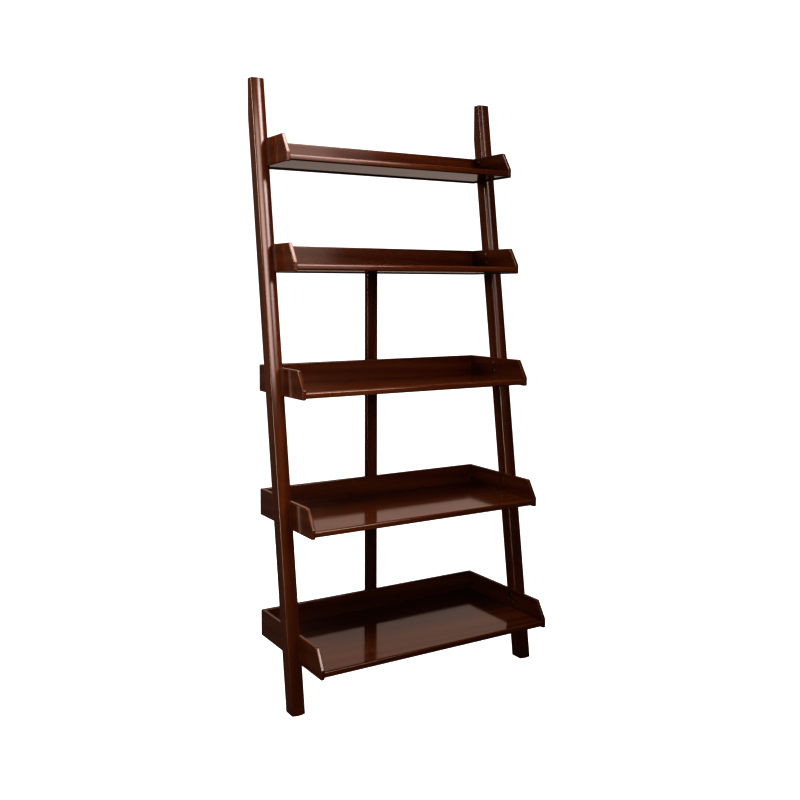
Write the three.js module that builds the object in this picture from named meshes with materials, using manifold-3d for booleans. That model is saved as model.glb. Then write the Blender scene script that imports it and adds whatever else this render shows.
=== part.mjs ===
// Free-standing ladder shelf: two leaning uprights and one vertical rear post
// carry five trays that grow deeper from top to bottom.
// Millimetres, +Z up, front faces -Y, +X is the right-hand side seen from the front.
// Origin: on the floor, in the middle of the overall width and depth.

import * as THREE from 'three';
import { mergeVertices } from 'three/addons/utils/BufferGeometryUtils.js';
import Module from 'manifold-3d';

const wasm = await Module();
wasm.setup();

// ---------------------------------------------------------------- overall
const HEIGHT = 1829;            // floor to the top of the uprights (72 in)
const TRAY_WIDTH = 808;         // outside of side panel to outside of side panel
const UPRIGHT_WIDTH = 42;       // left to right
const HOUSING_DEPTH = 8;        // trays are let into the uprights' inner faces by this much
const DEEPEST_TRAY = 396;       // front edge of the lowest tray to the trays' rear plane
const POST_DEPTH = 20;          // rear post, front to back
const DEPTH = DEEPEST_TRAY + POST_DEPTH;
const REAR_PLANE = DEPTH / 2 - POST_DEPTH;   // y of the plane behind all the trays
const UPRIGHT_INNER = TRAY_WIDTH / 2 - HOUSING_DEPTH;  // x of the uprights' inner faces

// ---------------------------------------------------------------- uprights
const LEAN_RUN = 0.1375;        // backward run for each unit of height
const LEAN = Math.atan(LEAN_RUN);
const UPRIGHT_DEPTH = 45.5;     // front to back, square to the lean
const FOOT_BACK = 243;          // back edge of the foot, in front of the rear plane
const PLUMB_BACK = 9;           // plumb cut behind the top end, in front of the rear plane
const CROWN_RADIUS = 50;        // the front face is gently rounded across its width
const UPRIGHT_NOSE = 4;         // radius of the two front edges
const UPRIGHT_ARRIS = 3;        // radius of the two rear edges
const OVERLENGTH = 30;          // of the bar at each end, before it is cut level
const WASTE = 200;              // size of the blocks that cut the ends off

// ---------------------------------------------------------------- rear post
const POST_WIDTH = 38;
const POST_TOP = 1328;          // ends behind the second tray
const POST_ARRIS = 2.5;

// ---------------------------------------------------------------- trays
// Every front edge stands the same distance ahead of the leaning uprights,
// so a tray grows deeper by the lean for each step down.
const TRAY_BOTTOMS = [1570, 1260, 901, 519, 139];
const LOWEST_BOTTOM = Math.min(...TRAY_BOTTOMS);
const TRAYS = TRAY_BOTTOMS.map((bottom, index) => ({
  name: `tray_${index + 1}`,
  bottom,
  depth: DEEPEST_TRAY - LEAN_RUN * (bottom - LOWEST_BOTTOM),
  onPost: bottom < POST_TOP,
}));
const TRAY_HEIGHT = 82;
const SIDE_THICKNESS = 12;
const BACK_THICKNESS = 12;
const BOARD_THICKNESS = 18;
const BOARD_LIFT = 3.5;         // underside of the board above the side panels' lower edge
const BOARD_SETBACK = 3.5;      // front edge of the board behind the side panels' front edge
const BOARD_NOSE = 5;           // radius of the board's front edges
const CLIP_BACK = 33;           // clipped front corner of a side panel, along the top edge
const CLIP_BASE = 27;           // height where the clipped corner ends at the front edge
const CLIP_RADIUS = 5;          // radius at both ends of the clipped corner
const PANEL_ARRIS = 2.5;        // radius of the panels' long edges
const PANEL_CORNER = 3.5;       // radius of a side panel's other corners

// ---------------------------------------------------------------- fasteners
const BOLT_HEIGHTS = [38, 64];  // above the lower edge of each tray
const BOLT_HEAD_RADIUS = 7.5;
const BOLT_HEAD_HEIGHT = 2.4;
const BOLT_RADIUS = 3;
const BOLT_GRIP = SIDE_THICKNESS + 20;
const BOLT_HEAD_CHAMFER = 1.6;
const SOCKET_RADIUS = 2.3;      // hex socket, centre to corner
const SOCKET_DEPTH = 1.8;
const SCREW_HEIGHTS = [30, 60]; // above the lower edge of each tray
const SCREW_HEAD_RADIUS = 4.6;
const SCREW_RADIUS = 2.2;
const SCREW_LENGTH = POST_DEPTH + 9;
const SCREW_SUNK = 0.3;         // face of the head below the wood
const SCREW_RIM = 0.7;          // depth where the countersunk taper starts
const SCREW_NECK = 3.1;         // depth where the taper meets the shank
const SCREW_TIP = 2;            // length of the point
const SCREW_TIP_RADIUS = 1.2;
const SLOT_SPAN = 4.6;          // cross slots in the head
const SLOT_WIDTH = 1;
const SLOT_DEPTH = 1.5;
const CLEARANCE = 0.35;         // drilled holes around the fasteners
const HOLE_SPARE = 1;           // depth of a blind hole beyond the fastener's end
const THROUGH = 5;              // how far a cutter passes the face it starts from
const SEAT_GAP = 0.15;          // under a bolt head
const HOUSING_GAP = 0.25;       // above and below a tray in its housing

// ---------------------------------------------------------------- facets
const ROUND_FACETS = 16;        // round a fastener or a drilled hole
const HEX_FACETS = 6;
const ARRIS_FACETS = 2;         // across a small rounded edge
const NOSE_FACETS = 3;          // across a board's front edge
const CROWN_FACETS = 4;         // across each curve of an upright
const WELD_DISTANCE = 1e-4;

// ---------------------------------------------------------------- finishes
const WOOD = { color: 0x3b1c13, roughness: 0.28, metalness: 0 };
const SIDE_WOOD = { color: 0x33180f, roughness: 0.34, metalness: 0 };
const BRONZE = { color: 0x2b2320, roughness: 0.42, metalness: 0.85 };
const STEEL = { color: 0x6f6a64, roughness: 0.38, metalness: 0.9 };

// ---------------------------------------------------------------- helpers

function toSolid(geometry) {
  const bare = geometry.clone();
  bare.deleteAttribute('normal');
  bare.deleteAttribute('uv');
  const merged = mergeVertices(bare, WELD_DISTANCE);
  return new wasm.Manifold(new wasm.Mesh({
    numProp: 3,
    vertProperties: new Float32Array(merged.attributes.position.array),
    triVerts: new Uint32Array(merged.index.array),
  }));
}

function fromSolid(solid) {
  const cut = solid.getMesh();
  const geometry = new THREE.BufferGeometry();
  geometry.setAttribute('position', new THREE.BufferAttribute(cut.vertProperties, cut.numProp));
  geometry.setIndex(new THREE.BufferAttribute(cut.triVerts, 1));
  geometry.computeVertexNormals();
  return geometry;
}

function subtractAll(geometry, tools) {
  let solid = toSolid(geometry);
  for (const tool of tools) {
    solid = solid.subtract(toSolid(tool));
  }
  return fromSolid(solid);
}

// A closed convex outline, counter-clockwise, whose corners are rounded
// by the radius stored with each point.
function easedOutline(corners) {
  const shape = new THREE.Shape();
  corners.forEach((corner, index) => {
    const here = new THREE.Vector2(corner.x, corner.y);
    const before = corners[(index + corners.length - 1) % corners.length];
    const after = corners[(index + 1) % corners.length];
    const toBefore = new THREE.Vector2(before.x, before.y).sub(here).normalize();
    const toAfter = new THREE.Vector2(after.x, after.y).sub(here).normalize();
    const half = Math.acos(THREE.MathUtils.clamp(toBefore.dot(toAfter), -1, 1)) / 2;
    const reach = corner.radius / Math.tan(half);
    const start = here.clone().addScaledVector(toBefore, reach);
    const end = here.clone().addScaledVector(toAfter, reach);
    if (index === 0) {
      shape.moveTo(start.x, start.y);
    } else {
      shape.lineTo(start.x, start.y);
    }
    if (corner.radius > 0) {
      const inward = toBefore.clone().add(toAfter).normalize();
      const centre = here.clone().addScaledVector(inward, corner.radius / Math.sin(half));
      const from = Math.atan2(start.y - centre.y, start.x - centre.x);
      const to = Math.atan2(end.y - centre.y, end.x - centre.x);
      shape.absarc(centre.x, centre.y, corner.radius, from, to, false);
    }
  });
  shape.closePath();
  return shape;
}

// Turns a profile drawn as (distance forward, height) and swept along its own Z
// into a piece that runs along X and is centred on x = 0.
function layAlongX(geometry, length) {
  const turn = new THREE.Matrix4().makeBasis(
    new THREE.Vector3(0, -1, 0),
    new THREE.Vector3(0, 0, 1),
    new THREE.Vector3(-1, 0, 0),
  );
  geometry.applyMatrix4(turn);
  geometry.translate(length / 2, 0, 0);
  return geometry;
}

function sweepAlongX(shape, length, curveSegments) {
  const geometry = new THREE.ExtrudeGeometry(shape, {
    depth: length,
    bevelEnabled: false,
    curveSegments,
  });
  return layAlongX(geometry, length);
}

function drillAlongX(radius, from, to, y, z) {
  const drill = new THREE.CylinderGeometry(radius, radius, to - from, ROUND_FACETS);
  drill.rotateZ(Math.PI / 2);
  drill.translate((from + to) / 2, y, z);
  return drill;
}

// A turned profile about Y, listed as [radius, height] from one end to the other.
function turned(profile) {
  const points = profile.map(([radius, height]) => new THREE.Vector2(radius, height));
  return new THREE.LatheGeometry(points, ROUND_FACETS);
}

function makeMesh(name, geometry, finish) {
  const mesh = new THREE.Mesh(geometry, new THREE.MeshStandardMaterial(finish));
  mesh.name = name;
  return mesh;
}

// y of the middle of the upright at a height above the floor
function uprightCentre(height) {
  const back = REAR_PLANE - FOOT_BACK + height * LEAN_RUN;
  return back - UPRIGHT_DEPTH / Math.cos(LEAN) / 2;
}

function boltPlaces() {
  const places = [];
  for (const tray of TRAYS) {
    for (const height of BOLT_HEIGHTS) {
      const z = tray.bottom + height;
      places.push({ tray, z, y: uprightCentre(z) });
    }
  }
  return places;
}

// ---------------------------------------------------------------- pieces

// Flat sides and back, a front face with a gentle crown, all four edges rounded.
function uprightSection() {
  const halfWidth = UPRIGHT_WIDTH / 2;
  const back = UPRIGHT_DEPTH / 2 - UPRIGHT_ARRIS;
  const crownY = CROWN_RADIUS - UPRIGHT_DEPTH / 2;
  const noseX = halfWidth - UPRIGHT_NOSE;
  const swing = Math.asin(noseX / (CROWN_RADIUS - UPRIGHT_NOSE));
  const noseY = crownY - noseX / Math.tan(swing);
  const front = -Math.PI / 2;
  const shape = new THREE.Shape();
  shape.moveTo(halfWidth, 0);
  shape.absarc(halfWidth - UPRIGHT_ARRIS, back, UPRIGHT_ARRIS, 0, -front, false);
  shape.absarc(UPRIGHT_ARRIS - halfWidth, back, UPRIGHT_ARRIS, -front, Math.PI, false);
  shape.absarc(-noseX, noseY, UPRIGHT_NOSE, -Math.PI, front - swing, false);
  shape.absarc(0, crownY, CROWN_RADIUS, front - swing, front + swing, false);
  shape.absarc(noseX, noseY, UPRIGHT_NOSE, front + swing, 0, false);
  shape.closePath();
  return shape;
}

// One housing for each tray, cut right through from front to back.
function housings(side) {
  return TRAYS.map((tray) => {
    const housing = new THREE.BoxGeometry(
      2 * HOUSING_DEPTH,
      DEPTH,
      TRAY_HEIGHT + 2 * HOUSING_GAP,
    );
    housing.translate(side * UPRIGHT_INNER, 0, tray.bottom + TRAY_HEIGHT / 2);
    return housing;
  });
}

// A straight bar, leant back, then cut level at the floor and the top
// and plumb behind its top end; blind holes take the tray bolts.
function uprightGeometry(side) {
  const bar = new THREE.ExtrudeGeometry(uprightSection(), {
    depth: HEIGHT / Math.cos(LEAN) + 2 * OVERLENGTH,
    bevelEnabled: false,
    curveSegments: CROWN_FACETS,
  });
  bar.translate(0, 0, -OVERLENGTH);
  bar.rotateX(-LEAN);
  bar.translate(side * (UPRIGHT_INNER + UPRIGHT_WIDTH / 2), uprightCentre(0), 0);

  const middle = side * TRAY_WIDTH / 2;
  const floor = new THREE.BoxGeometry(WASTE, 2 * DEPTH, WASTE);
  floor.translate(middle, 0, -WASTE / 2);
  const ceiling = new THREE.BoxGeometry(WASTE, 2 * DEPTH, WASTE);
  ceiling.translate(middle, 0, HEIGHT + WASTE / 2);
  const behind = new THREE.BoxGeometry(WASTE, WASTE, 2 * HEIGHT);
  behind.translate(middle, REAR_PLANE - PLUMB_BACK + WASTE / 2, HEIGHT);
  const tools = [floor, ceiling, behind, ...housings(side)];

  const start = TRAY_WIDTH / 2 - THROUGH;
  const end = TRAY_WIDTH / 2 - SIDE_THICKNESS + BOLT_GRIP + HOLE_SPARE;
  for (const place of boltPlaces()) {
    const drill = drillAlongX(BOLT_RADIUS + CLEARANCE, start, end, place.y, place.z);
    if (side < 0) {
      drill.rotateZ(Math.PI);
      drill.translate(0, 2 * place.y, 0);
    }
    tools.push(drill);
  }
  return subtractAll(bar, tools);
}

function postGeometry() {
  const half = POST_WIDTH / 2;
  const section = easedOutline([
    { x: -half, y: 0, radius: POST_ARRIS },
    { x: half, y: 0, radius: POST_ARRIS },
    { x: half, y: POST_DEPTH, radius: POST_ARRIS },
    { x: -half, y: POST_DEPTH, radius: POST_ARRIS },
  ]);
  const bar = new THREE.ExtrudeGeometry(section, {
    depth: POST_TOP,
    bevelEnabled: false,
    curveSegments: ARRIS_FACETS,
  });
  bar.translate(0, REAR_PLANE, 0);
  const tools = screwPlaces().map((z) => {
    const drill = screwHole();
    drill.rotateX(Math.PI);
    drill.translate(0, REAR_PLANE + POST_DEPTH, z);
    return drill;
  });
  return subtractAll(bar, tools);
}

// Side panel with its front top corner clipped off and all edges eased.
function sideGeometry(tray, side) {
  const outline = easedOutline([
    { x: 0, y: 0, radius: PANEL_CORNER },
    { x: tray.depth, y: 0, radius: PANEL_CORNER },
    { x: tray.depth, y: CLIP_BASE, radius: CLIP_RADIUS },
    { x: tray.depth - CLIP_BACK, y: TRAY_HEIGHT, radius: CLIP_RADIUS },
    { x: 0, y: TRAY_HEIGHT, radius: PANEL_CORNER },
  ]);
  const panel = new THREE.ExtrudeGeometry(outline, {
    depth: SIDE_THICKNESS - 2 * PANEL_ARRIS,
    bevelEnabled: true,
    bevelThickness: PANEL_ARRIS,
    bevelSize: PANEL_ARRIS,
    bevelOffset: -PANEL_ARRIS,
    bevelSegments: ARRIS_FACETS,
    curveSegments: ARRIS_FACETS,
  });
  layAlongX(panel, SIDE_THICKNESS - 2 * PANEL_ARRIS);
  const middle = side * (TRAY_WIDTH - SIDE_THICKNESS) / 2;
  panel.translate(middle, REAR_PLANE, 0);
  const reach = SIDE_THICKNESS / 2 + THROUGH;
  const drills = BOLT_HEIGHTS.map((height) => {
    const y = uprightCentre(tray.bottom + height);
    return drillAlongX(BOLT_RADIUS + CLEARANCE, middle - reach, middle + reach, y, height);
  });
  return subtractAll(panel, drills);
}

function backGeometry(tray) {
  const outline = easedOutline([
    { x: 0, y: 0, radius: PANEL_ARRIS },
    { x: BACK_THICKNESS, y: 0, radius: PANEL_ARRIS },
    { x: BACK_THICKNESS, y: TRAY_HEIGHT, radius: PANEL_ARRIS },
    { x: 0, y: TRAY_HEIGHT, radius: PANEL_ARRIS },
  ]);
  const panel = sweepAlongX(outline, TRAY_WIDTH - 2 * SIDE_THICKNESS, ARRIS_FACETS);
  panel.translate(0, REAR_PLANE, 0);
  if (!tray.onPost) {
    return panel;
  }
  const radius = SCREW_RADIUS + CLEARANCE;
  const depth = SCREW_LENGTH - POST_DEPTH + HOLE_SPARE;
  const drills = SCREW_HEIGHTS.map((height) => {
    const drill = new THREE.CylinderGeometry(radius, radius, depth + THROUGH, ROUND_FACETS);
    drill.translate(0, REAR_PLANE + (THROUGH - depth) / 2, height);
    return drill;
  });
  return subtractAll(panel, drills);
}

function boardGeometry(tray) {
  const outline = easedOutline([
    { x: BACK_THICKNESS, y: 0, radius: 0 },
    { x: tray.depth - BOARD_SETBACK, y: 0, radius: BOARD_NOSE },
    { x: tray.depth - BOARD_SETBACK, y: BOARD_THICKNESS, radius: BOARD_NOSE },
    { x: BACK_THICKNESS, y: BOARD_THICKNESS, radius: 0 },
  ]);
  const board = sweepAlongX(outline, TRAY_WIDTH - 2 * SIDE_THICKNESS, NOSE_FACETS);
  board.translate(0, REAR_PLANE, BOARD_LIFT);
  return board;
}

// Flat-headed connector bolt about Y, head at y = 0 and shank towards -Y.
function boltGeometry() {
  const body = turned([
    [0, -BOLT_GRIP],
    [BOLT_RADIUS, -BOLT_GRIP],
    [BOLT_RADIUS, 0],
    [BOLT_HEAD_RADIUS, 0],
    [BOLT_HEAD_RADIUS, BOLT_HEAD_HEIGHT / 2],
    [BOLT_HEAD_RADIUS - BOLT_HEAD_CHAMFER, BOLT_HEAD_HEIGHT],
    [0, BOLT_HEAD_HEIGHT],
  ]);
  const socket = new THREE.CylinderGeometry(
    SOCKET_RADIUS,
    SOCKET_RADIUS,
    2 * SOCKET_DEPTH,
    HEX_FACETS,
  );
  socket.translate(0, BOLT_HEAD_HEIGHT, 0);
  return subtractAll(body, [socket]);
}

// A countersunk head, its taper and its shank about Y, point towards +Y.
function countersunk(extra, face, end, tipRadius) {
  const head = SCREW_HEAD_RADIUS + extra;
  const shank = SCREW_RADIUS + extra;
  return turned([
    [0, face],
    [head, face],
    [head, SCREW_RIM],
    [shank, SCREW_NECK],
    [shank, end - SCREW_TIP],
    [tipRadius, end],
    [0, end],
  ]);
}

function screwHole() {
  const shank = SCREW_RADIUS + CLEARANCE;
  return countersunk(CLEARANCE, -THROUGH, SCREW_LENGTH + THROUGH, shank);
}

function screwGeometry() {
  const body = countersunk(0, SCREW_SUNK, SCREW_LENGTH, SCREW_TIP_RADIUS);
  const slots = [0, Math.PI / 2].map((turn) => {
    const slot = new THREE.BoxGeometry(SLOT_SPAN, 2 * SLOT_DEPTH, SLOT_WIDTH);
    slot.rotateY(turn);
    slot.translate(0, SCREW_SUNK, 0);
    return slot;
  });
  return subtractAll(body, slots);
}

function screwPlaces() {
  const places = [];
  for (const tray of TRAYS.filter((item) => item.onPost)) {
    for (const height of SCREW_HEIGHTS) {
      places.push(tray.bottom + height);
    }
  }
  return places;
}

// ---------------------------------------------------------------- assembly

const group = new THREE.Group();

group.add(makeMesh('upright_left', uprightGeometry(-1), WOOD));
group.add(makeMesh('upright_right', uprightGeometry(1), WOOD));
group.add(makeMesh('rear_post', postGeometry(), WOOD));

for (const tray of TRAYS) {
  const box = new THREE.Group();
  box.position.z = tray.bottom;
  box.add(makeMesh(`${tray.name}_board`, boardGeometry(tray), WOOD));
  box.add(makeMesh(`${tray.name}_back`, backGeometry(tray), WOOD));
  box.add(makeMesh(`${tray.name}_side_left`, sideGeometry(tray, -1), SIDE_WOOD));
  box.add(makeMesh(`${tray.name}_side_right`, sideGeometry(tray, 1), SIDE_WOOD));

  for (const [side, hand] of [[-1, 'left'], [1, 'right']]) {
    BOLT_HEIGHTS.forEach((height, index) => {
      const place = index === 0 ? 'lower' : 'upper';
      const bolt = makeMesh(`${tray.name}_bolt_${hand}_${place}`, boltGeometry(), BRONZE);
      bolt.position.set(
        side * (TRAY_WIDTH / 2 - SIDE_THICKNESS - SEAT_GAP),
        uprightCentre(tray.bottom + height),
        height,
      );
      bolt.rotation.z = side * Math.PI / 2;
      box.add(bolt);
    });
  }

  if (tray.onPost) {
    SCREW_HEIGHTS.forEach((height, index) => {
      const place = index === 0 ? 'lower' : 'upper';
      const screw = makeMesh(`${tray.name}_post_screw_${place}`, screwGeometry(), STEEL);
      screw.position.set(0, REAR_PLANE + POST_DEPTH, height);
      screw.rotation.x = Math.PI;
      box.add(screw);
    });
  }
  group.add(box);
}

export default group;
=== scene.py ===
"""Looks for the ladder shelf: stained, lacquered wood, dark bronze bolts and plated screws."""

import math

import bpy
from mathutils import Euler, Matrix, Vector

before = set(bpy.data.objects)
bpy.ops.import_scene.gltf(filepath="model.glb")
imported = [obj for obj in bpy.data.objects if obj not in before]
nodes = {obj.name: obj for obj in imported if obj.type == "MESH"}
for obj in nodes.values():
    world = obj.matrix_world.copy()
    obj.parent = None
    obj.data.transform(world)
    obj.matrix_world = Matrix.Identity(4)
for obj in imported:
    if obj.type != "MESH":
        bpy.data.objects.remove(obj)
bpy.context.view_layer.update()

# ---------------------------------------------------------------- camera
CAMERA_PLACE = Vector((-1.566, -2.385, 1.210))
CAMERA_YAW = math.radians(30.05)      # turned from +Y towards +X
CAMERA_PITCH = math.radians(4.36)     # tipped down
CAMERA_LENS = 41.72                   # mm
SENSOR_WIDTH = 36                     # mm
CAMERA_SHIFT = (0.06, -0.05)
CAMERA_REACH = 200                    # m


def make_camera():
    data = bpy.data.cameras.new("camera")
    data.sensor_width = SENSOR_WIDTH
    data.lens = CAMERA_LENS
    data.shift_x, data.shift_y = CAMERA_SHIFT
    data.clip_end = CAMERA_REACH
    camera = bpy.data.objects.new("camera", data)
    bpy.context.scene.collection.objects.link(camera)
    camera.location = CAMERA_PLACE
    camera.rotation_euler = Euler((math.pi / 2 - CAMERA_PITCH, 0, -CAMERA_YAW), "XYZ")
    bpy.context.scene.camera = camera


# ---------------------------------------------------------------- material nodes
class Graph:
    """A material's node tree with short ways to add and join nodes."""

    def __init__(self, name):
        self.material = bpy.data.materials.new(name)
        self.material.use_nodes = True
        self.tree = self.material.node_tree
        self.tree.nodes.clear()

    def add(self, kind, **settings):
        node = self.tree.nodes.new(kind)
        for key, value in settings.items():
            setattr(node, key, value)
        return node

    def join(self, source, target):
        self.tree.links.new(source, target)

    def put(self, socket, value):
        """Links a socket to another one, or sets its number or colour."""
        if isinstance(value, bpy.types.NodeSocket):
            self.join(value, socket)
        else:
            socket.default_value = value

    def noise(self, vector, scale, detail=3.0, roughness=0.5, distortion=0.0):
        node = self.add("ShaderNodeTexNoise")
        self.put(node.inputs["Vector"], vector)
        node.inputs["Scale"].default_value = scale
        node.inputs["Detail"].default_value = detail
        node.inputs["Roughness"].default_value = roughness
        node.inputs["Distortion"].default_value = distortion
        return node.outputs["Fac"]

    def ramp(self, fac, *stops):
        """stops are (position, grey or colour)."""
        node = self.add("ShaderNodeValToRGB")
        self.put(node.inputs["Fac"], fac)
        elements = node.color_ramp.elements
        while len(elements) < len(stops):
            elements.new(0.5)
        for element, (position, colour) in zip(elements, stops):
            element.position = position
            if isinstance(colour, (int, float)):
                colour = (colour, colour, colour)
            element.color = (*colour, 1)
        return node.outputs["Color"]

    def math(self, operation, a, b):
        node = self.add("ShaderNodeMath", operation=operation)
        self.put(node.inputs[0], a)
        self.put(node.inputs[1], b)
        return node.outputs["Value"]

    def mix(self, fac, a, b):
        """Goes from a to b as fac goes from 0 to 1."""
        node = self.add("ShaderNodeMix", data_type="RGBA")
        self.put(node.inputs["Factor"], fac)
        for socket, value in ((node.inputs[6], a), (node.inputs[7], b)):
            self.put(socket, (*value, 1) if isinstance(value, tuple) else value)
        return node.outputs[2]

    def remap(self, value, low, high):
        """Takes a 0 to 1 value to low to high."""
        node = self.add("ShaderNodeMapRange")
        self.put(node.inputs["Value"], value)
        node.inputs["To Min"].default_value = low
        node.inputs["To Max"].default_value = high
        return node.outputs["Result"]

    def place(self, turn=(0, 0, 0), offset=(0, 0, 0), scale=(1, 1, 1), source=None):
        """Object coordinates in metres, or source, scaled, turned and moved."""
        if source is None:
            source = self.add("ShaderNodeTexCoord").outputs["Object"]
        node = self.add("ShaderNodeMapping", vector_type="POINT")
        self.put(node.inputs["Vector"], source)
        node.inputs["Rotation"].default_value = turn
        node.inputs["Location"].default_value = offset
        node.inputs["Scale"].default_value = scale
        return node.outputs["Vector"]

    def bump(self, height, strength, distance, normal=None):
        node = self.add("ShaderNodeBump")
        node.inputs["Strength"].default_value = strength
        node.inputs["Distance"].default_value = distance
        self.put(node.inputs["Height"], height)
        if normal is not None:
            self.put(node.inputs["Normal"], normal)
        return node.outputs["Normal"]

    def finish(self, shader):
        output = self.add("ShaderNodeOutputMaterial")
        self.join(shader, output.inputs["Surface"])
        return self.material


# ---------------------------------------------------------------- wood
DARK_STAIN = (0.038, 0.0074, 0.0022)
MID_STAIN = (0.072, 0.0196, 0.0052)
WARM_STAIN = (0.104, 0.0335, 0.0090)
# the lighter brown on the arrises: stain rubbed through, and also a painted highlight along the edges
WORN_AND_HIGHLIGHT_STAIN = (0.200, 0.075, 0.030)
PORE_STAIN = (0.012, 0.0028, 0.0014)

# how closely each pattern is packed: along the grain, then both ways across it
FIGURE_PACKING = (0.35, 6.0, 6.0)
FIBRE_PACKING = (7.0, 420.0, 420.0)
PORE_PACKING = (45.0, 1300.0, 1300.0)
BLOTCH_PACKING = (2.2, 5.0, 5.0)

BANDS = {"Scale": 2.1, "Distortion": 7.0, "Detail": 3.0, "Detail Scale": 0.8}
BEND_SCALE = 1.6
BEND_SHARE = 0.60         # of the figure; the rest is bands
DARK_AT, MID_AT, WARM_AT = 0.18, 0.50, 0.86
PORE_STOPS = ((0.60, 0.0), (0.70, 1.0))
BLOTCH_SCALE = 1.3
FIBRE_SHARE = 0.55
BLOTCH_SHARE = 0.5
PORE_SHARE = 0.55

# the arris mask: lighter colour on the edges, partly rubbed-through stain and partly painted highlight
EDGE_REACH = 0.0022       # m from an arris
EDGE_SAMPLES = 4
EDGE_STOPS = ((0.90, 1.0), (0.995, 0.0))
PATCH_SCALE = 34.0
PATCH_STOPS = ((0.40, 0.15), (0.68, 1.0))
WEAR_AND_HIGHLIGHT_SHARE = 0.5

# bumps are strength and height in metres
PEEL_SCALE = 180.0
PEEL_BUMP = (0.02, 0.0005)
FIBRE_BUMP = (0.05, 0.0002)
HAZE_SCALE = 7.0
HAZE_STOPS = ((0.35, 0.0), (0.75, 1.0))
HAZE_DULLING = 0.05
WEAR_DULLING = 0.5
PORE_DULLING = 0.10

# roughness of the clean lacquer
UPRIGHT_GLOSS = 0.13
BOARD_GLOSS = 0.07
PANEL_GLOSS = 0.10


def growth_figure(g, along):
    """Growth bands, drawn out along the grain and gently bent."""
    drawn = g.place(scale=FIGURE_PACKING, source=along)
    bend = g.noise(drawn, BEND_SCALE, detail=2.0, distortion=0.4)
    bands = g.add("ShaderNodeTexWave", wave_type="BANDS", bands_direction="DIAGONAL")
    g.join(drawn, bands.inputs["Vector"])
    for socket, value in BANDS.items():
        bands.inputs[socket].default_value = value
    return g.mix(BEND_SHARE, bands.outputs["Fac"], bend)


def arris_wear_and_highlight(g, along):
    """Where the lacquer is rubbed thin, in patches along the arrises; the same lighter edges are also a
    painted highlight, standing in for light caught by the arrises.
    """
    soft = g.add("ShaderNodeBevel", samples=EDGE_SAMPLES)
    soft.inputs["Radius"].default_value = EDGE_REACH
    sharp = g.add("ShaderNodeNewGeometry").outputs["Normal"]
    facing = g.add("ShaderNodeVectorMath", operation="DOT_PRODUCT")
    g.join(soft.outputs["Normal"], facing.inputs[0])
    g.join(sharp, facing.inputs[1])
    edge = g.ramp(facing.outputs["Value"], *EDGE_STOPS)
    patchy = g.ramp(g.noise(along, PATCH_SCALE, detail=3.0, roughness=0.65), *PATCH_STOPS)
    return g.math("MULTIPLY", g.math("MULTIPLY", edge, patchy), WEAR_AND_HIGHLIGHT_SHARE)


def wood(name, turn, offset, gloss=PANEL_GLOSS, tone=1.0):
    """Mahogany-stained wood under lacquer. turn brings the grain onto local X."""
    g = Graph(name)
    along = g.place(turn, offset)
    stains = (DARK_STAIN, MID_STAIN, WARM_STAIN)
    dark, mid, warm = (tuple(channel * tone for channel in stain) for stain in stains)

    fibre_place = g.place(scale=FIBRE_PACKING, source=along)
    fibre = g.noise(fibre_place, 1.0, detail=4.0, roughness=0.6)
    pores = g.ramp(g.noise(g.place(scale=PORE_PACKING, source=along), 1.0, detail=2.0), *PORE_STOPS)
    blotch_place = g.place(scale=BLOTCH_PACKING, source=along)
    blotch = g.noise(blotch_place, BLOTCH_SCALE, detail=3.0, roughness=0.6)
    wear_and_highlight = arris_wear_and_highlight(g, along)

    body = g.ramp(growth_figure(g, along), (DARK_AT, dark), (MID_AT, mid), (WARM_AT, warm))
    streaked = g.mix(g.remap(fibre, 0.0, FIBRE_SHARE), body, DARK_STAIN)
    stained = g.mix(g.remap(blotch, 0.0, BLOTCH_SHARE), streaked, mid)
    pored = g.mix(g.math("MULTIPLY", pores, PORE_SHARE), stained, PORE_STAIN)
    # lighter on the arrises: rubbed-through stain together with a painted highlight along the edges
    colour = g.mix(wear_and_highlight, pored, WORN_AND_HIGHLIGHT_STAIN)

    # lacquer: filled grain, a trace of orange peel, duller where it is worn or hazy
    peel = g.bump(g.noise(along, PEEL_SCALE, detail=1.0), *PEEL_BUMP)
    relief = g.bump(g.math("SUBTRACT", fibre, pores), *FIBRE_BUMP, peel)
    haze = g.ramp(g.noise(along, HAZE_SCALE, detail=4.0, roughness=0.65), *HAZE_STOPS)
    hazy = g.math("MULTIPLY", haze, HAZE_DULLING)
    dull = g.math("ADD", hazy, g.math("MULTIPLY", wear_and_highlight, WEAR_DULLING))
    rough = g.math("ADD", dull, g.math("MULTIPLY", pores, PORE_DULLING))

    shader = g.add("ShaderNodeBsdfPrincipled")
    g.join(colour, shader.inputs["Base Color"])
    g.join(g.math("ADD", rough, gloss), shader.inputs["Roughness"])
    g.join(relief, shader.inputs["Normal"])
    return g.finish(shader.outputs["BSDF"])


# ---------------------------------------------------------------- metal
BRONZE, DULL_BRONZE = (0.060, 0.046, 0.038), (0.030, 0.024, 0.021)
ZINC, DULL_ZINC = (0.46, 0.45, 0.43), (0.30, 0.29, 0.27)
BRONZE_ROUGHNESS = 0.38
ZINC_ROUGHNESS = 0.34
BRUSH_PACKING = (900.0, 900.0, 90.0)
BRUSH_BUMP = (0.15, 0.0002)
BRUSH_SMOOTHER, BRUSH_ROUGHER = 0.08, 0.12
TARNISH_SCALE = 120.0
TARNISH_STOPS = ((0.42, 0.0), (0.66, 1.0))


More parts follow.
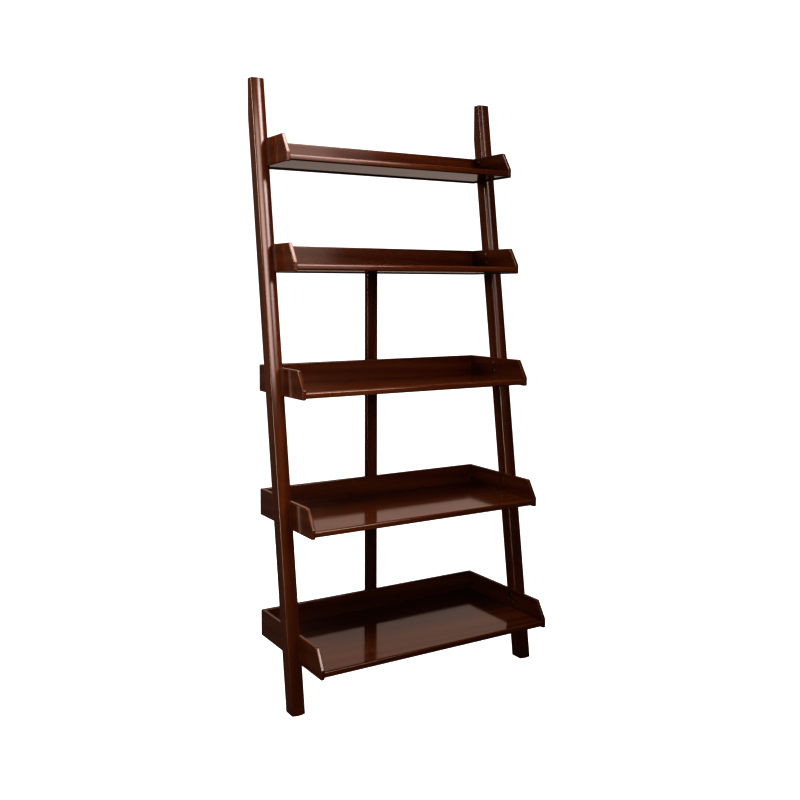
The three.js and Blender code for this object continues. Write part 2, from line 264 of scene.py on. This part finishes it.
def plated_metal(name, colour, dull, roughness):
    """Turned and plated steel with fine brushing and dull patches."""
    g = Graph(name)
    here = g.place()
    grain = g.noise(g.place(scale=BRUSH_PACKING, source=here), 1.0, detail=2.0)
    patch = g.noise(here, TARNISH_SCALE, detail=4.0, roughness=0.65)
    tint = g.mix(g.ramp(patch, *TARNISH_STOPS), colour, dull)
    shader = g.add("ShaderNodeBsdfPrincipled")
    g.join(tint, shader.inputs["Base Color"])
    brushed = g.remap(grain, roughness - BRUSH_SMOOTHER, roughness + BRUSH_ROUGHER)
    g.join(brushed, shader.inputs["Roughness"])
    g.join(g.bump(grain, *BRUSH_BUMP), shader.inputs["Normal"])
    shader.inputs["Metallic"].default_value = 1.0
    return g.finish(shader.outputs["BSDF"])


# ---------------------------------------------------------------- the pieces
LEAN = math.atan(0.1375)  # of the uprights, from plumb
TRAYS = range(1, 6)
WELD_DISTANCE = 0.00001   # m
ARRIS_WIDTH = 0.0007      # m
ARRIS_ANGLE = math.radians(40)
NORMAL_WEIGHT = 100
POST_TONE = 0.75
# side, where its wood starts along the grain in metres, tone; the right side panels' darker tone is
# painted shade, since their faces turn into the shelf, away from the light
SIDES_WITH_PAINTED_SHADE = (("left", 7.0, 1.0), ("right", 9.0, 0.75))
BACK_START = 4.0          # m further along the wood than the tray's board
UPRIGHT_STEP = 3.1        # m along the wood from one upright to the other
TRAY_STEP = 1.37          # m along the wood from one tray to the next
GRAIN_ALONG_X = (0, 0, 0)
GRAIN_ALONG_Y = (0, 0, -math.pi / 2)
GRAIN_ALONG_Z = (0, math.pi / 2, 0)


def dress(node_name, material):
    """Gives a CAD node its material, welded corners, a fine arris and shading that follows them."""
    piece = nodes[node_name]
    piece.data.materials.clear()
    piece.data.materials.append(material)
    piece.data.polygons.foreach_set("use_smooth", [True] * len(piece.data.polygons))
    weld = piece.modifiers.new("weld", "WELD")
    weld.merge_threshold = WELD_DISTANCE
    arris = piece.modifiers.new("arris", "BEVEL")
    arris.width = ARRIS_WIDTH
    arris.segments = 2
    arris.limit_method = "ANGLE"
    arris.angle_limit = ARRIS_ANGLE
    normals = piece.modifiers.new("normals", "WEIGHTED_NORMAL")
    normals.weight = NORMAL_WEIGHT
    normals.keep_sharp = False
    piece.data.update()


def dress_wood():
    """Cuts every piece from another place in the wood, so that no two show the same figure. The right
    side panels are stained darker as painted shade.
    """
    turn = Euler(GRAIN_ALONG_Z).to_matrix() @ Euler((LEAN, 0, 0)).to_matrix()
    grain = tuple(turn.to_euler("XYZ"))
    for index, side in enumerate(("left", "right")):
        place = (UPRIGHT_STEP * index, 0.4, 1.7)
        dress(f"upright_{side}", wood(f"wood_upright_{side}", grain, place, gloss=UPRIGHT_GLOSS))
    dress("rear_post", wood("wood_post", GRAIN_ALONG_Z, (5.3, 1.1, 0.3), tone=POST_TONE))
    for tray in TRAYS:
        shift = TRAY_STEP * tray
        place = (shift, 0.21 * tray, 0.5)
        dress(f"tray_{tray}_board", wood(f"wood_board_{tray}", GRAIN_ALONG_X, place, gloss=BOARD_GLOSS))
        place = (shift + BACK_START, 0.9, 0.33 * tray)
        dress(f"tray_{tray}_back", wood(f"wood_back_{tray}", GRAIN_ALONG_X, place))
        # the right side panels get a darker tone: painted shade, not a different wood
        for side, start, tone in SIDES_WITH_PAINTED_SHADE:
            place = (shift + start, 0.6, 0.27 * tray)
            panel = wood(f"wood_side_{tray}_{side}", GRAIN_ALONG_Y, place, tone=tone)
            dress(f"tray_{tray}_side_{side}", panel)


def dress_metal():
    bronze = plated_metal("bronze_plate", BRONZE, DULL_BRONZE, BRONZE_ROUGHNESS)
    zinc = plated_metal("zinc_plate", ZINC, DULL_ZINC, ZINC_ROUGHNESS)
    for name in nodes:
        if "_bolt_" in name:
            dress(name, bronze)
        elif "_screw_" in name:
            dress(name, zinc)


# ---------------------------------------------------------------- studio
WHITE = (1, 1, 1, 1)
FLOOR_REACH = 60.0        # m from the middle to each edge
FLOOR_ROUGHNESS = 0.9
FLOOR_SPECULAR = 0.1
FLOOR_GLOW = 0.93
PAPER_SCALE = 3.0
PAPER_STOPS = ((0.3, 0.80), (0.7, 0.82))

ROOM_TINT = (1.0, 0.80, 0.71, 1)
FRONT_WALLS = 0.045       # light from every side
WALL_YAW = math.radians(26)   # the bright wall's direction, from +Y towards +X
BACK_WALL = 0.46          # added behind the shelf
BACK_SWEEP = -0.16        # added low down behind the shelf, which is dimmer there
BEHIND = (0.5, 0.9)       # cosines from the wall's direction: where it starts, where it is full
STRAIGHT = (0.55, 0.90)   # the same for its low part
LOW = (-0.06, 0.15)       # sine of a ray's elevation: where the low part is full, where it ends

# name, place, target, size, radiance, tint, spread in degrees
SOFTBOXES = (
    ("front_left", (-0.50, -3.0, 2.3), (-0.28, 0, 1.55), (1.5, 1.7), 11.5, (1, 0.84, 0.78), 42),
    ("front_right", (0.78, -2.05, 2.25), (-0.42, -0.05, 1.15), (1.0, 1.5), 17.0, (1, 0.91, 0.89), 36),
    ("front_card", (0.80, -2.50, 1.80), (-0.3, 0.1, 1.5), (0.9, 1.0), 2.2, (1, 0.86, 0.80), 60),
    ("overhead", (0.40, -0.60, 3.0), (0.0, -0.1, 1.6), (0.8, 0.9), 16.0, (1, 0.86, 0.80), 60),
    ("top_left", (-1.20, -0.90, 3.1), (-0.50, 0, 1.1), (1.2, 1.2), 27.0, (1, 0.93, 0.82), 50),
    ("left_strip", (-2.20, -1.20, 0.55), (-0.5, -0.25, 0.50), (0.5, 1.4), 42.0, (1, 0.93, 0.82), 24),
    ("rim", (-2.60, 1.70, 2.15), (0, 0, 1.65), (1.2, 1.2), 32.0, (1, 0.86, 0.68), 36),
)


def make_floor():
    """Pale paper sweep. It catches soft shadows, but throws no colour on the shelf."""
    mesh = bpy.data.meshes.new("floor")
    far = FLOOR_REACH
    corners = [(-far, -far, 0), (far, -far, 0), (far, far, 0), (-far, far, 0)]
    mesh.from_pydata(corners, [], [(0, 1, 2, 3)])
    floor = bpy.data.objects.new("floor", mesh)
    bpy.context.scene.collection.objects.link(floor)
    g = Graph("floor_paper")
    shader = g.add("ShaderNodeBsdfPrincipled")
    paper = g.noise(g.place(), PAPER_SCALE, detail=2.0)
    g.join(g.ramp(paper, *PAPER_STOPS), shader.inputs["Base Color"])
    shader.inputs["Roughness"].default_value = FLOOR_ROUGHNESS
    shader.inputs["Specular IOR Level"].default_value = FLOOR_SPECULAR
    shader.inputs["Emission Color"].default_value = WHITE
    shader.inputs["Emission Strength"].default_value = FLOOR_GLOW
    mesh.materials.append(g.finish(shader.outputs["BSDF"]))
    floor.visible_glossy = False
    floor.visible_diffuse = False


def make_world():
    """White to the eye; for light, a wall behind the shelf, dimmer low down, and dim walls elsewhere."""
    world = bpy.data.worlds.new("studio")
    bpy.context.scene.world = world
    world.use_nodes = True
    tree = world.node_tree
    tree.nodes.clear()
    join = tree.links.new

    def math_node(operation, a, b):
        node = tree.nodes.new("ShaderNodeMath")
        node.operation = operation
        for socket, value in zip(node.inputs, (a, b)):
            if isinstance(value, bpy.types.NodeSocket):
                join(value, socket)
            else:
                socket.default_value = value
        return node.outputs["Value"]

    def smooth(value, low, high):
        node = tree.nodes.new("ShaderNodeMapRange")
        node.interpolation_type = "SMOOTHSTEP"
        join(value, node.inputs["Value"])
        node.inputs["From Min"].default_value = low
        node.inputs["From Max"].default_value = high
        return node.outputs["Result"]

    direction = tree.nodes.new("ShaderNodeTexCoord").outputs["Generated"]
    split = tree.nodes.new("ShaderNodeSeparateXYZ")
    join(direction, split.inputs["Vector"])
    ahead = tree.nodes.new("ShaderNodeVectorMath")
    ahead.operation = "DOT_PRODUCT"
    join(direction, ahead.inputs[0])
    ahead.inputs[1].default_value = (math.sin(WALL_YAW), math.cos(WALL_YAW), 0)

    behind = smooth(ahead.outputs["Value"], *BEHIND)
    straight = smooth(ahead.outputs["Value"], *STRAIGHT)
    low = math_node("SUBTRACT", 1.0, smooth(split.outputs["Z"], *LOW))
    sweep = math_node("MULTIPLY", math_node("MULTIPLY", straight, low), BACK_SWEEP)
    wall = math_node("ADD", math_node("MULTIPLY", behind, BACK_WALL), FRONT_WALLS)

    lit = tree.nodes.new("ShaderNodeBackground")
    lit.inputs["Color"].default_value = ROOM_TINT
    join(math_node("ADD", wall, sweep), lit.inputs["Strength"])
    seen = tree.nodes.new("ShaderNodeBackground")
    seen.inputs["Color"].default_value = WHITE
    choose = tree.nodes.new("ShaderNodeMixShader")
    join(tree.nodes.new("ShaderNodeLightPath").outputs["Is Camera Ray"], choose.inputs["Fac"])
    join(lit.outputs["Background"], choose.inputs[1])
    join(seen.outputs["Background"], choose.inputs[2])
    output = tree.nodes.new("ShaderNodeOutputWorld")
    join(choose.outputs["Shader"], output.inputs["Surface"])


def make_softbox(name, place, target, size, radiance, tint, spread):
    """A softbox with a grid. radiance is what a mirror facing it would show."""
    half = math.radians(spread) / 2
    focus = (math.tan(half) - half) / math.tan(half)
    data = bpy.data.lights.new(name, "AREA")
    data.shape = "RECTANGLE"
    data.size, data.size_y = size
    data.energy = radiance * math.pi * size[0] * size[1] * focus
    data.color = tint
    data.spread = 2 * half
    light = bpy.data.objects.new(name, data)
    bpy.context.scene.collection.objects.link(light)
    light.location = place
    light.rotation_euler = (Vector(target) - Vector(place)).to_track_quat("-Z", "Y").to_euler()


make_camera()
dress_wood()
dress_metal()
make_floor()
make_world()
for softbox in SOFTBOXES:
    make_softbox(*softbox)
bpy.context.scene.view_settings.view_transform = "Standard"
bpy.context.scene.view_settings.look = "High Contrast"
